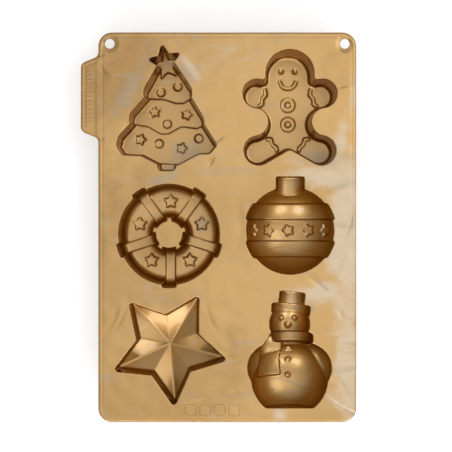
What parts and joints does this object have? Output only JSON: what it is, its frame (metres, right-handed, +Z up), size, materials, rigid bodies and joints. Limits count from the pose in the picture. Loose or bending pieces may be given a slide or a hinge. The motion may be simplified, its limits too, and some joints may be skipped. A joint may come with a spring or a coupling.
{
  "type": "mini cake pan",
  "caption": "Flat silicone baking mould with figure-shaped cups for small cakes, a grip tab and corner holes to hang it by.",
  "frame": {"origin": "centre of the mould's bounding box at the level on which the cups stand", "axes": "+Z up out of the cups, +Y along the long side towards the hanging holes, +X across, away from the grip tab"},
  "size_m": [0.188, 0.266, 0.0265],
  "materials": {
    "silicone": "satin pearl, marbled gold"
  },
  "bodies": {
    "root": {"sheet_field_tree": "silicone", "sheet_field_gingerbread": "silicone", "sheet_field_wreath": "silicone", "sheet_field_bauble": "silicone", "sheet_field_star": "silicone", "sheet_field_snowman": "silicone", "rim_bead": "silicone", "grip_tab": "silicone", "hang_eyelet_left": "silicone", "hang_eyelet_right": "silicone", "tree_wall": "silicone", "tree_floor": "silicone", "gingerbread_wall": "silicone", "gingerbread_floor": "silicone", "wreath_outer_wall": "silicone", "wreath_floor": "silicone", "wreath_inner_wall": "silicone", "wreath_island": "silicone", "bauble_bowl": "silicone", "bauble_neck": "silicone", "star_wall": "silicone", "star_facets": "silicone", "snowman_belly": "silicone", "snowman_collar": "silicone", "snowman_head": "silicone", "snowman_hat": "silicone"}
  },
  "joints": []
}
